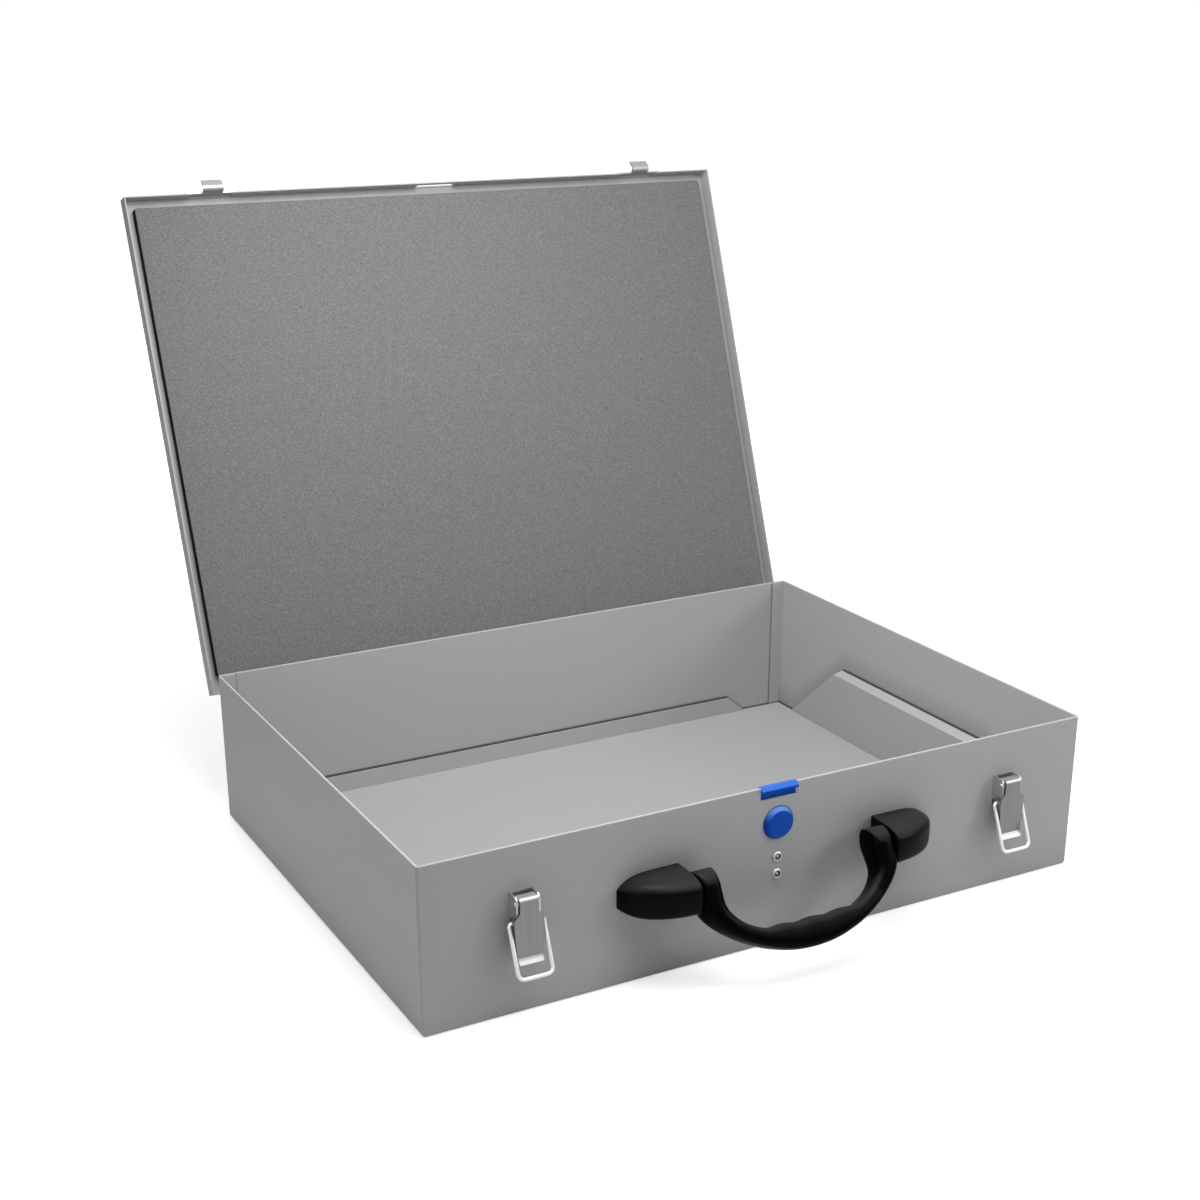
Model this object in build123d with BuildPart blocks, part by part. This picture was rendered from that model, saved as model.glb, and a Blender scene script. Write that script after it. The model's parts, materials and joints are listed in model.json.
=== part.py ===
from build123d import *
import os
from math import cos, hypot, pi, radians, sin

os.makedirs("parts", exist_ok=True)

# Millimetres. X runs left to right, Y front to back, Z up from the bottom of the case.
# The case stands flat on its bottom with its lid open, as it is photographed.

# Case body, one folded sheet
case_width = 440.0
case_depth = 325.0
case_height = 100.0
body_sheet = 1.0
body_bend = 2.5
body_corner = 1.5
corner_tab = 10.0
corner_seam = 0.3

# Lid, a shallow folded tray that laps outside the body
lid_sheet = 0.8
lid_side_gap = 0.4
lid_rim_gap = 0.3
lid_skirt = 11.7
lid_bend = 1.6
lid_corner_slit = 1.2
lid_open_angle = 110.0

# Foam pad glued inside the lid
pad_thickness = 6.0
pad_margin = 5.8
pad_hinge_margin = 11.0
pad_corner = 1.5

# Long hinge welded to the back wall and to the lid
hinge_length = 400.0
hinge_knuckles = 11
hinge_leaf = 0.8
hinge_axis_height = 82.9
hinge_pin_diameter = 2.84
hinge_pin_play = 0.08
hinge_knuckle_gap = 0.5
hinge_body_leaf_low = 64.0
hinge_lid_leaf_inset = 2.1
hinge_relief = 3.2
hinge_stop_reach = 3.2
hinge_stop_angle = -50.0
weld_spot = 4.0
weld_depth = 0.15
weld_pitch = 48.0

# Floor liner
liner_sheet = 0.8
liner_rise = 0.7
liner_side_gap = 1.5
liner_end_gap = 0.9
liner_flap_height = 13.0
liner_flap_foot = 185.0
liner_flap_top = 171.0
liner_flap_standoff = 1.9
liner_wing_foot = 141.0
liner_wing_top = 84.0
liner_wing_height = 47.5
liner_wing_lean = 4.0
liner_lip_rise = 3.6
liner_lip_reach = 4.1

# Toggle latches on the front wall and their keepers on the lid
latch_inset = 58.0
latch_sheet = 1.0
latch_base_width = 14.0
latch_base_low = 51.0
latch_base_high = 74.0
latch_ear_low = 59.5
latch_ear_out = 9.7
latch_ear_corner = 3.0
latch_rivets = (55.0, 66.0)
lever_axis_out = 8.0
lever_axis_height = 70.0
lever_face_out = 11.0
lever_high = 73.5
lever_low = 38.0
lever_shoulder_high = 65.0
lever_shoulder_low = 61.6
lever_waist = 53.0
lever_cap_back = 3.4
lever_cap_bend = 1.8
lever_wing_back = 4.4
lever_wing_corner = 1.0
lever_foot_wing = 2.2
lever_low_wing = 3.8
lever_low_wing_rise = 8.0
lever_cap_notch = 2.4
lever_top_width = 11.0
lever_mid_width = 17.2
lever_foot_width = 14.6
lever_lip_reach = 2.4
lever_lip_drop = 2.4
lever_lip_taper = 2.0
lever_pin_diameter = 3.0
latch_play = 0.06
bail_wire = 2.3
bail_axis_out = 6.5
bail_axis_height = 58.5
bail_span = 22.6
bail_end_gap = 0.3
bail_eye_bend = 1.9
bail_corner = 3.6
bail_tilt = 22.5
keeper_sheet = 1.0
keeper_plate_width = 37.0
keeper_plate_high = 1.7
keeper_plate_height = 8.2
keeper_notch_width = 29.0
keeper_notch_head = 2.1
keeper_tongue = 13.6
keeper_depth = 15.0
keeper_inner_bend = 1.9
keeper_lip_slope = 35.0
keeper_lip = 4.3
keeper_weld_out = 14.0
keeper_plate_corner = 1.5
keeper_root = 2.0

# Push button, catch and the leaf spring that carries them
button_diameter = 19.6
button_height = 77.0
button_stand = 3.0
button_bevel = 1.6
button_gap = 0.4
catch_width = 24.2
catch_side_gap = 0.3
catch_notch_floor = 92.5
catch_plate_low = 65.5
catch_high = 99.8
catch_thickness = 2.0
catch_wall_gap = 0.3
catch_nose = 1.5
catch_nose_drop = 1.6
catch_nose_height = 1.5
catch_slot_width = 28.0
catch_slot_head = 1.7
catch_slot_height = 5.5
spring_width = 18.0
spring_thickness = 0.8
spring_low = 39.0
spring_bend_low = 59.5
spring_bend_high = 64.0
spring_high = 84.0
spring_rivets = (55.8, 45.1)

# Blind rivets, one size throughout
rivet_shank = 3.2
rivet_head = 6.4
rivet_dome = 1.2
rivet_core = 1.8
rivet_core_depth = 0.7
rivet_bulb = 4.6
rivet_bulb_height = 1.6
rivet_hole_gap = 0.1

# Carrying handle
handle_axis_out = 16.0
handle_axis_height = 56.0
handle_tilt = 34.0
handle_end_radius = 11.0
handle_arm_inner = 51.0
handle_arm_outer = 64.8
handle_depth = 14.5
handle_taper = 25.0
handle_edge = 3.6
grip_spans = 28
handle_grip_inner = 28.9
handle_grip_outer = 45.8
handle_stud = 8.0
handle_stud_length = 6.0
handle_stud_root = 4.0
handle_stud_play = 0.1
bracket_inner = 65.2
bracket_outer = 104.6
bracket_low = 44.0
bracket_high = 66.8
bracket_out = 27.0
bracket_round = 7.0
bracket_fullness = 2.1
bracket_nose = 0.58
bracket_low_rise = 0.2
bracket_high_fall = 0.34
bracket_steps = (0, 0.16, 0.32, 0.46, 0.58, 0.69, 0.78, 0.86, 0.92, 0.965, 0.99)
bracket_end_gap = 0.4
screw_shank = 3.0
screw_head = 6.0
screw_head_height = 2.0
screw_depth = 8.0
screw_point_gap = 0.5
screw_head_edge = 0.6
screw_cross = (3.6, 0.8)
screw_cross_depth = 1.1
screw_x = (77.5, 90.0)

# Positions that follow from the sizes above
front_face = -case_depth / 2
back_face = case_depth / 2
side_face = case_width / 2
latch_x = side_face - latch_inset
lid_half_width = side_face + lid_side_gap + lid_sheet
lid_half_depth = back_face + lid_side_gap + lid_sheet
lid_top = case_height + lid_rim_gap + lid_sheet
lid_low = lid_top - lid_skirt
hinge_bore = hinge_pin_diameter / 2 + hinge_pin_play
hinge_barrel = hinge_bore + hinge_leaf
hinge_axis_y = lid_half_depth + hinge_barrel
hinge_line = Axis((0, hinge_axis_y, hinge_axis_height), (1, 0, 0))
front_plane = Plane.XZ.offset(case_depth / 2)


def side_plane(x):
    # Sketches on it read (distance out from the front wall, height)
    return Plane(origin=(x, front_face, 0), x_dir=(0, -1, 0), z_dir=(-1, 0, 0))


def save(part, name):
    part.label = name
    export_step(part, f"parts/{name}.step")


def save_opened(part, name):
    # Lid pieces are drawn closed and swung open about the hinge pin
    save(part.rotate(hinge_line, -lid_open_angle), name)


# Case body: bottom and four walls folded from one sheet. The side walls end in tabs that lap
# inside the front and back walls, and a narrow seam shows at each upright corner.
with BuildPart() as body_shell:
    Box(case_width, case_depth, case_height, align=(Align.CENTER, Align.CENTER, Align.MIN))
    fillet(body_shell.edges().filter_by(Axis.Z), radius=body_corner)
    fillet(body_shell.faces().sort_by(Axis.Z)[0].edges(), radius=body_bend)
    offset(amount=-body_sheet, openings=body_shell.faces().sort_by(Axis.Z)[-1])
    tab_place = (case_width - 2 * body_sheet - corner_tab, case_depth - 3 * body_sheet)
    with BuildSketch(Plane.XY.offset(body_bend)):
        with GridLocations(*tab_place, 2, 2):
            Rectangle(corner_tab, body_sheet)
    extrude(amount=case_height - body_bend - 1.0)
    seam_depth = body_sheet - 0.2
    seam_place = (case_width - seam_depth, case_depth - 2 * body_sheet - corner_seam)
    with BuildSketch(Plane.XY.offset(body_bend + 2.0)):
        with GridLocations(*seam_place, 2, 2):
            Rectangle(seam_depth + 0.01, corner_seam)
    extrude(amount=case_height, mode=Mode.SUBTRACT)
    with BuildSketch(front_plane):
        with Locations((0, catch_notch_floor)):
            notch_width = catch_width + 2 * catch_side_gap
            Rectangle(notch_width, case_height, align=(Align.CENTER, Align.MIN))
        with Locations((0, button_height)):
            Circle(button_diameter / 2 + button_gap)
        with Locations([(0, z) for z in spring_rivets]):
            Circle(rivet_shank / 2 + rivet_hole_gap)
        with Locations([(s * latch_x, z) for s in (-1, 1) for z in latch_rivets]):
            Circle(rivet_shank / 2 + rivet_hole_gap)
        with Locations([(s * x, handle_axis_height) for s in (-1, 1) for x in screw_x]):
            Circle(screw_shank / 2 + rivet_hole_gap)
    extrude(amount=-1.5 * body_sheet, mode=Mode.SUBTRACT)
save(body_shell.part, "body_shell")

# Floor liner: a loose plate that sits on the bends of the floor. Low flaps stand in front of
# the front and back walls, tall wings lean in from the side walls and end in a sloped lip.
liner_low = body_sheet + liner_rise
liner_top = liner_low + liner_sheet
liner_half_width = side_face - body_sheet - liner_side_gap
liner_half_depth = back_face - body_sheet - liner_end_gap
flap_face = back_face - body_sheet - liner_flap_standoff
wing_knee = liner_top + liner_wing_height
wing_slope = (liner_wing_foot - liner_wing_top) / liner_wing_height
lip_tip = wing_knee + liner_lip_rise


def liner_wing(s):
    foot = liner_half_width
    knee = foot - liner_wing_lean
    tip = knee + liner_lip_reach
    with BuildPart() as wing:
        with BuildSketch(Plane.XZ):
            with BuildLine():
                Polyline(
                    (s * foot, liner_low),
                    (s * knee, wing_knee),
                    (s * tip, lip_tip),
                    (s * (tip - 0.5), lip_tip + 0.6),
                    (s * (knee - liner_sheet), wing_knee + 0.35),
                    (s * (foot - liner_sheet), liner_low),
                    close=True,
                )
            make_face()
        extrude(amount=liner_wing_foot, both=True)
        tall = lip_tip + 1.0 - liner_top
        with BuildSketch(Plane.YZ):
            Polygon(
                (-liner_wing_foot, liner_low),
                (liner_wing_foot, liner_low),
                (liner_wing_foot, liner_top),
                (liner_wing_foot - wing_slope * tall, liner_top + tall),
                (wing_slope * tall - liner_wing_foot, liner_top + tall),
                (-liner_wing_foot, liner_top),
                align=None,
            )
        extrude(amount=s * side_face, mode=Mode.INTERSECT)
    return wing.part


left_wing = liner_wing(-1)
right_wing = liner_wing(1)
with BuildPart() as floor_liner:
    with BuildSketch(Plane.XY.offset(liner_low)):
        Rectangle(2 * liner_half_width, 2 * liner_half_depth)
        edge_strip = liner_half_depth - flap_face
        for s in (-1, 1):
            with Locations((0, s * (flap_face + edge_strip / 2))):
                Rectangle(2 * liner_flap_foot, edge_strip, mode=Mode.SUBTRACT)
    extrude(amount=liner_sheet)
    for y in (flap_face, liner_sheet - flap_face):
        with BuildSketch(Plane.XZ.offset(-y)):
            Polygon(
                (-liner_flap_foot, liner_low),
                (liner_flap_foot, liner_low),
                (liner_flap_foot, liner_top),
                (liner_flap_top, liner_low + liner_flap_height),
                (-liner_flap_top, liner_low + liner_flap_height),
                (-liner_flap_foot, liner_top),
                align=None,
            )
        extrude(amount=liner_sheet)
    add(left_wing)
    add(right_wing)
save(floor_liner.part, "floor_liner")

# Lid: a shallow tray. Its front skirt has a slot for the catch and a notch behind each keeper,
# and slits part the skirts at the corners.
with BuildPart() as lid_shell:
    with Locations((0, 0, lid_low)):
        Box(
            2 * lid_half_width,
            2 * lid_half_depth,
            lid_skirt,
            align=(Align.CENTER, Align.CENTER, Align.MIN),
        )
    fillet(lid_shell.faces().sort_by(Axis.Z)[-1].edges(), radius=lid_bend)
    offset(amount=-lid_sheet, openings=lid_shell.faces().sort_by(Axis.Z)[0])
    slit_place = 2 * (lid_half_width - lid_sheet) - lid_corner_slit
    with BuildSketch(Plane.XY.offset(lid_low)):
        with GridLocations(slit_place, 2 * lid_half_depth - lid_sheet, 2, 2):
            Rectangle(lid_corner_slit, 2 * lid_sheet)
    extrude(amount=lid_skirt - lid_bend, mode=Mode.SUBTRACT)
    with BuildSketch(Plane.XZ.offset(lid_half_depth)):
        with Locations((0, lid_top - catch_slot_head)):
            Rectangle(catch_slot_width, catch_slot_height, align=(Align.CENTER, Align.MAX))
        with Locations([(s * latch_x, lid_top - keeper_notch_head) for s in (-1, 1)]):
            Rectangle(keeper_notch_width, lid_skirt, align=(Align.CENTER, Align.MAX))
    extrude(amount=-2 * lid_sheet, mode=Mode.SUBTRACT)
save_opened(lid_shell.part, "lid_shell")

# Foam pad. Its margin is wider at the hinge, where it swings past the rim of the back wall.
pad_top = lid_top - lid_sheet
pad_length = 2 * (lid_half_depth - lid_sheet) - pad_margin - pad_hinge_margin
with BuildPart() as lid_foam:
    with BuildSketch(Plane.XY.offset(pad_top)):
        with Locations((0, (pad_margin - pad_hinge_margin) / 2)):
            RectangleRounded(
                2 * (lid_half_width - lid_sheet - pad_margin),
                pad_length,
                pad_corner,
            )
    extrude(amount=-pad_thickness)
save_opened(lid_foam.part, "lid_foam")


# Keepers: a plate welded outside the lid skirt, with a tongue bent outwards into a hook
keeper_face = lid_side_gap + lid_sheet
hook_low = lid_top - keeper_depth
hook_bend = keeper_inner_bend + keeper_sheet
hook_centre = (keeper_face + hook_bend, hook_low + hook_bend)
hook_turn = 90 + keeper_lip_slope
lip_run = (
    keeper_lip * cos(radians(keeper_lip_slope)),
    keeper_lip * sin(radians(keeper_lip_slope)),
)


def keeper(x):
    plate_top = lid_top - keeper_plate_high
    root = plate_top - keeper_root
    with BuildPart() as part:
        with BuildSketch(front_plane.offset(keeper_face)):
            with Locations((x, plate_top)):
                Rectangle(keeper_plate_width, keeper_plate_height, align=(Align.CENTER, Align.MAX))
        extrude(amount=keeper_sheet)
        fillet(part.edges().filter_by(Axis.Y), radius=keeper_plate_corner)
        with BuildSketch(side_plane(x)):
            with BuildLine():
                outer = CenterArc(hook_centre, hook_bend, 180, hook_turn)
                lip_low = (outer @ 1) + Vector(*lip_run)
                Line(outer @ 1, lip_low)
                inner = CenterArc(hook_centre, keeper_inner_bend, 180 + hook_turn, -hook_turn)
                lip_high = (inner @ 0) + Vector(*lip_run)
                Line(inner @ 0, lip_high)
                Line(lip_low, lip_high)
                Line(outer @ 0, (keeper_face, root))
                Line((keeper_face, root), (keeper_face + keeper_sheet, root))
                Line((keeper_face + keeper_sheet, root), inner @ 1)
            make_face()
        extrude(amount=keeper_tongue / 2, both=True)
        weld_height = plate_top - keeper_plate_height / 2
        for weld_x in (x - keeper_weld_out, x + keeper_weld_out):
            with Locations((weld_x, front_face - keeper_face - keeper_sheet, weld_height)):
                Cylinder(weld_spot / 2, 2 * weld_depth, rotation=(90, 0, 0), mode=Mode.SUBTRACT)
    return part.part


save_opened(keeper(-latch_x), "keeper_left")
save_opened(keeper(latch_x), "keeper_right")

# Hinge: two leaves with alternating rolled knuckles on one pin. Each lid knuckle has a short
# toe that comes to rest against the back wall when the lid is fully open.
knuckle_pitch = hinge_length / hinge_knuckles
knuckle_length = knuckle_pitch - hinge_knuckle_gap
joggle = hinge_axis_y - hinge_barrel
body_leaf_top = hinge_axis_height - hinge_relief
lid_leaf_low = hinge_axis_height + hinge_relief
lid_leaf_top = lid_top - hinge_lid_leaf_inset
weld_count = int(hinge_length / weld_pitch)
back_plane = Plane.YZ.offset(-hinge_length / 2)


def knuckle_starts(first):
    return [
        -hinge_length / 2 + i * knuckle_pitch + hinge_knuckle_gap / 2
        for i in range(first, hinge_knuckles, 2)
    ]


def knuckle_sketch(x, bore, leaf_end):
    # The rolled eye with the strip of leaf that runs into it
    with BuildSketch(Plane.YZ.offset(x)) as eye:
        with Locations((hinge_axis_y, hinge_axis_height)):
            Circle(hinge_barrel)
        corner = (joggle, min(hinge_axis_height, leaf_end))
        with Locations(corner):
            Rectangle(hinge_leaf, abs(hinge_axis_height - leaf_end), align=(Align.MIN, Align.MIN))
        with Locations((hinge_axis_y, hinge_axis_height)):
            Circle(bore, mode=Mode.SUBTRACT)
    return eye.sketch


with BuildPart() as hinge_leaf_body:
    with BuildSketch(back_plane):
        Polygon(
            (back_face, hinge_body_leaf_low),
            (back_face + hinge_leaf, hinge_body_leaf_low),
            (back_face + hinge_leaf, body_leaf_top - 2.4),
            (joggle + hinge_leaf, body_leaf_top - 0.4),
            (joggle + hinge_leaf, body_leaf_top),
            (joggle, body_leaf_top),
            (back_face, body_leaf_top - 2.0),
            align=None,
        )
    extrude(amount=hinge_length)
    for x in knuckle_starts(0):
        extrude(knuckle_sketch(x, hinge_pin_diameter / 2, body_leaf_top), amount=knuckle_length)
    with Locations((0, back_face + hinge_leaf, hinge_body_leaf_low + 6.5)):
        with GridLocations(weld_pitch, 1, weld_count, 1):
            Cylinder(weld_spot / 2, 2 * weld_depth, rotation=(90, 0, 0), mode=Mode.SUBTRACT)
save(hinge_leaf_body.part, "hinge_leaf_body")

with BuildPart() as hinge_leaf_lid:
    with BuildSketch(back_plane):
        with Locations((lid_half_depth, lid_leaf_low)):
            Rectangle(hinge_leaf, lid_leaf_top - lid_leaf_low, align=(Align.MIN, Align.MIN))
    extrude(amount=hinge_length)
    for x in knuckle_starts(1):
        extrude(knuckle_sketch(x, hinge_bore, lid_leaf_low), amount=knuckle_length)
        with BuildSketch(Plane.YZ.offset(x)):
            with Locations(Location((hinge_axis_y, hinge_axis_height), hinge_stop_angle)):
                with Locations((hinge_bore + 0.2, 0)):
                    toe_length = hinge_stop_reach - hinge_bore - 0.2
                    Rectangle(toe_length, hinge_leaf, align=(Align.MIN, Align.CENTER))
        extrude(amount=knuckle_length)
    with Locations((0, lid_half_depth + hinge_leaf, lid_leaf_top - 5.0)):
        with GridLocations(weld_pitch, 1, weld_count, 1):
            Cylinder(weld_spot / 2, 2 * weld_depth, rotation=(90, 0, 0), mode=Mode.SUBTRACT)
save_opened(hinge_leaf_lid.part, "hinge_leaf_lid")

with BuildPart() as hinge_pin:
    with Locations((0, hinge_axis_y, hinge_axis_height)):
        Cylinder(hinge_pin_diameter / 2, hinge_length + 2.0, rotation=(0, 90, 0))
    chamfer(hinge_pin.edges().filter_by(GeomType.CIRCLE), length=0.4)
save(hinge_pin.part, "hinge_pin")


def rivet(x, z, seat_out, grip):
    # A blind rivet: domed head outside with the broken stem in its middle, bulb inside
    with BuildPart() as part:
        with BuildSketch(front_plane.offset(seat_out)):
            with Locations((x, z)):
                Circle(rivet_head / 2)
        extrude(amount=rivet_dome)
        chamfer(part.faces().sort_by(Axis.Y)[0].edges(), length=rivet_dome * 0.7)
        with BuildSketch(front_plane.offset(seat_out)):
            with Locations((x, z)):
                Circle(rivet_shank / 2)
        extrude(amount=-grip)
        with BuildSketch(front_plane.offset(seat_out - grip)):
            with Locations((x, z)):
                Circle(rivet_bulb / 2)
        extrude(amount=-rivet_bulb_height)
        chamfer(part.faces().sort_by(Axis.Y)[-1].edges(), length=rivet_bulb_height * 0.4)
        with BuildSketch(front_plane.offset(seat_out + rivet_dome)):
            with Locations((x, z)):
                Circle(rivet_core / 2)
        extrude(amount=-rivet_core_depth, mode=Mode.SUBTRACT)
    return part.part


def rivet_pair(places, seat_out, grip):
    with BuildPart() as pair:
        for x, z in places:
            add(rivet(x, z, seat_out, grip))
    return pair.part


# Toggle latches. The base carries the lever between two ears; the wire bail hangs in the
# lever's wings and reaches up into the keeper when the lever is swung out.
ear_face = latch_base_width / 2
trough_out = hook_centre[0]
trough_height = hook_low + keeper_sheet + bail_end_gap + bail_wire / 2
bail_length = hypot(trough_out - bail_axis_out, trough_height - bail_axis_height)


def latch_base(x):
    with BuildPart() as part:
        with BuildSketch(front_plane):
            with Locations((x, (latch_base_low + latch_base_high) / 2)):
                Rectangle(latch_base_width, latch_base_high - latch_base_low)
        extrude(amount=latch_sheet)
        fillet(part.edges().filter_by(Axis.Y).group_by(Axis.Z)[0], radius=2.0)
        for s in (-1, 1):
            with BuildSketch(side_plane(x + s * (ear_face - latch_sheet / 2))) as ear:
                Polygon(
                    (0, latch_ear_low),
                    (latch_ear_out, latch_ear_low),
                    (latch_ear_out, latch_base_high),
                    (0, latch_base_high),
                    align=None,
                )
                fillet(ear.vertices().sort_by(Axis.X)[-2:], radius=latch_ear_corner)
                with Locations((lever_axis_out, lever_axis_height)):
                    Circle(lever_pin_diameter / 2, mode=Mode.SUBTRACT)
            extrude(amount=latch_sheet / 2, both=True)
        with BuildSketch(front_plane):
            with Locations([(x, z) for z in latch_rivets]):
                Circle(rivet_shank / 2 + rivet_hole_gap)
        extrude(amount=latch_sheet, mode=Mode.SUBTRACT)
    return part.part


def lever_outline(x, inset):
    top = lever_top_width / 2 - inset
    mid = lever_mid_width / 2 - inset
    foot = lever_foot_width / 2 - inset
    low = lever_low - 2 * inset
    Polygon(
        (x - top, lever_high - inset),
        (x - top, lever_shoulder_high),
        (x - mid, lever_shoulder_low),
        (x - mid, lever_waist),
        (x - foot, low),
        (x + foot, low),
        (x + mid, lever_waist),
        (x + mid, lever_shoulder_low),
        (x + top, lever_shoulder_high),
        (x + top, lever_high - inset),
        align=None,
    )


def lever_lip(x):
    # The foot flares out as a finger lip whose corners are cut away
    half = lever_foot_width / 2
    tip = lever_face_out + lever_lip_reach
    foot = lever_low - lever_lip_drop
    with BuildPart() as lip:
        with BuildSketch(side_plane(x)):
            Polygon(
                (lever_face_out - latch_sheet, lever_low + 0.2),
                (lever_face_out, lever_low + 1.4),
                (tip, foot + 0.9),
                (tip - 0.7, foot),
                (lever_face_out - latch_sheet, lever_low),
                align=None,
            )
        extrude(amount=half, both=True)
        with BuildSketch(front_plane):
            with BuildLine():
                Polyline(
                    (x - half, lever_low),
                    (x - half, lever_low + 2.0),
                    (x + half, lever_low + 2.0),
                    (x + half, lever_low),
                )
                for s in (-1, 1):
                    Spline(
                        (x + s * half, lever_low),
                        (x + s * (half - lever_lip_taper), foot),
                        tangents=((0, -1), (-s, -0.3)),
                    )
                Line((x + half - lever_lip_taper, foot), (x - half + lever_lip_taper, foot))
            make_face()
        extrude(amount=tip + 1.0, mode=Mode.INTERSECT)
    return lip.part


def latch_lever(x):
    web = lever_face_out - latch_sheet
    with BuildPart() as part:
        with BuildSketch(front_plane):
            lever_outline(x, 0)
        extrude(amount=lever_face_out)
        with BuildSketch(side_plane(x)) as profile:
            Polygon(
                (lever_cap_back, lever_high),
                (lever_face_out, lever_high),
                (lever_face_out, lever_low),
                (lever_face_out - lever_foot_wing, lever_low),
                (lever_face_out - lever_low_wing, lever_low + lever_low_wing_rise),
                (lever_wing_back, lever_waist),
                (lever_wing_back, lever_shoulder_low - lever_wing_corner),
                (lever_wing_back + lever_wing_corner, lever_shoulder_low),
                (web, lever_shoulder_low),
                (web, lever_shoulder_high),
                (lever_cap_back + lever_cap_notch, lever_shoulder_high),
                (lever_cap_back, lever_shoulder_high + lever_cap_notch),
                align=None,
            )
            fillet(profile.vertices().group_by(Axis.Y)[-1], radius=lever_cap_bend)
        extrude(amount=lever_mid_width, both=True, mode=Mode.INTERSECT)
        with BuildSketch(front_plane):
            lever_outline(x, latch_sheet)
        extrude(amount=web, mode=Mode.SUBTRACT)
        add(lever_lip(x))
        with BuildSketch(side_plane(x)):
            with Locations((lever_axis_out, lever_axis_height)):
                Circle(lever_pin_diameter / 2 + latch_play)
            with Locations((bail_axis_out, bail_axis_height)):
                Circle(bail_wire / 2 + latch_play)
        extrude(amount=lever_mid_width, both=True, mode=Mode.SUBTRACT)
    return part.part


def latch_pin(x):
    with BuildPart() as part:
        with Locations((x, front_face - lever_axis_out, lever_axis_height)):
            Cylinder(lever_pin_diameter / 2, latch_base_width + 1.2, rotation=(0, 90, 0))
        chamfer(part.edges().filter_by(GeomType.CIRCLE), length=0.3)
    return part.part


def latch_bail(x):
    tilt = radians(bail_tilt)
    arm = (bail_span - bail_wire) / 2
    end = ear_face + bail_end_gap
    swing = Plane(
        origin=(x, front_face - bail_axis_out, bail_axis_height),
        x_dir=(1, 0, 0),
        z_dir=(0, -cos(tilt), sin(tilt)),
    )
    with BuildPart() as part:
        with BuildLine(swing) as wire:
            Line((end, 0), (arm - bail_eye_bend, 0))
            ThreePointArc(
                (arm - bail_eye_bend, 0),
                (arm - bail_eye_bend * (1 - sin(pi / 4)), -bail_eye_bend * (1 - sin(pi / 4))),
                (arm, -bail_eye_bend),
            )
            Line((arm, -bail_eye_bend), (arm, bail_corner - bail_length))
            ThreePointArc(
                (arm, bail_corner - bail_length),
                (
                    arm - bail_corner * (1 - sin(pi / 4)),
                    bail_corner * (1 - sin(pi / 4)) - bail_length,
                ),
                (arm - bail_corner, -bail_length),
            )
            Line((arm - bail_corner, -bail_length), (0, -bail_length))
            mirror(about=Plane(origin=swing.origin, z_dir=(1, 0, 0)))
        start = Plane(origin=swing.from_local_coords((end, 0)), z_dir=(1, 0, 0))
        with BuildSketch(start):
            Circle(bail_wire / 2)
        sweep(path=wire.wire())
    return part.part


for name, x in (("left", -latch_x), ("right", latch_x)):
    save(latch_base(x), f"latch_{name}_base")
    save(latch_lever(x), f"latch_{name}_lever")
    save(latch_pin(x), f"latch_{name}_pin")
    save(latch_bail(x), f"latch_{name}_bail")
    save(
        rivet_pair([(x, z) for z in latch_rivets], latch_sheet, latch_sheet + body_sheet),
        f"latch_{name}_rivets",
    )

# Catch: a plate behind the front wall whose barb enters the slot in the lid skirt. The round
# button is part of the same moving group, and a leaf spring riveted to the wall carries both.
plate_face = body_sheet + catch_wall_gap
plate_back = plate_face + catch_thickness
arm_back = plate_back + spring_thickness
with BuildPart() as lid_catch:
    with BuildSketch(side_plane(0)):
        Polygon(
            (-plate_face, catch_plate_low),
            (-plate_back, catch_plate_low),
            (-plate_back, catch_high),
            (-plate_face, catch_high),
            (catch_nose, catch_high - catch_nose_drop),
            (catch_nose, catch_high - catch_nose_drop - catch_nose_height),
            (-plate_face, catch_high - catch_nose_drop - catch_nose_height - 1.0),
            align=None,
        )
    extrude(amount=catch_width / 2, both=True)
    fillet(lid_catch.edges().filter_by(Axis.Y).group_by(Axis.Z)[0], radius=3.0)
save(lid_catch.part, "lid_catch")

with BuildPart() as release_button:
    with BuildSketch(front_plane.offset(-plate_face)):
        with Locations((0, button_height)):
            Circle(button_diameter / 2)
    extrude(amount=plate_face + button_stand)
    chamfer(release_button.faces().sort_by(Axis.Y)[0].edges(), length=button_bevel)
save(release_button.part, "release_button")

with BuildPart() as catch_spring:
    with BuildSketch(side_plane(0)):
        Polygon(
            (-body_sheet, spring_low),
            (-body_sheet - spring_thickness, spring_low),
            (-body_sheet - spring_thickness, spring_bend_low),
            (-arm_back, spring_bend_high),
            (-arm_back, spring_high),
            (-plate_back, spring_high),
            (-plate_back, spring_bend_high - 0.3),
            (-body_sheet, spring_bend_low - 0.3),
            align=None,
        )
    extrude(amount=spring_width / 2, both=True)
    with BuildSketch(front_plane):
        with Locations([(0, z) for z in spring_rivets]):
            Circle(rivet_shank / 2 + rivet_hole_gap)
    extrude(amount=-2 * arm_back, mode=Mode.SUBTRACT)
save(catch_spring.part, "catch_spring")
save(
    rivet_pair([(0, z) for z in spring_rivets], 0, body_sheet + spring_thickness),
    "spring_rivets",
)

# Carrying handle: a bow that hangs by a stud at each eye in two brackets
tilt = radians(handle_tilt)
handle_plane = Plane(
    origin=(0, front_face - handle_axis_out, handle_axis_height),
    x_dir=(1, 0, 0),
    z_dir=(0, -cos(tilt), sin(tilt)),
)
eye_width = handle_arm_outer - handle_arm_inner
eye_middle = (handle_arm_inner + handle_arm_outer) / 2
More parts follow.
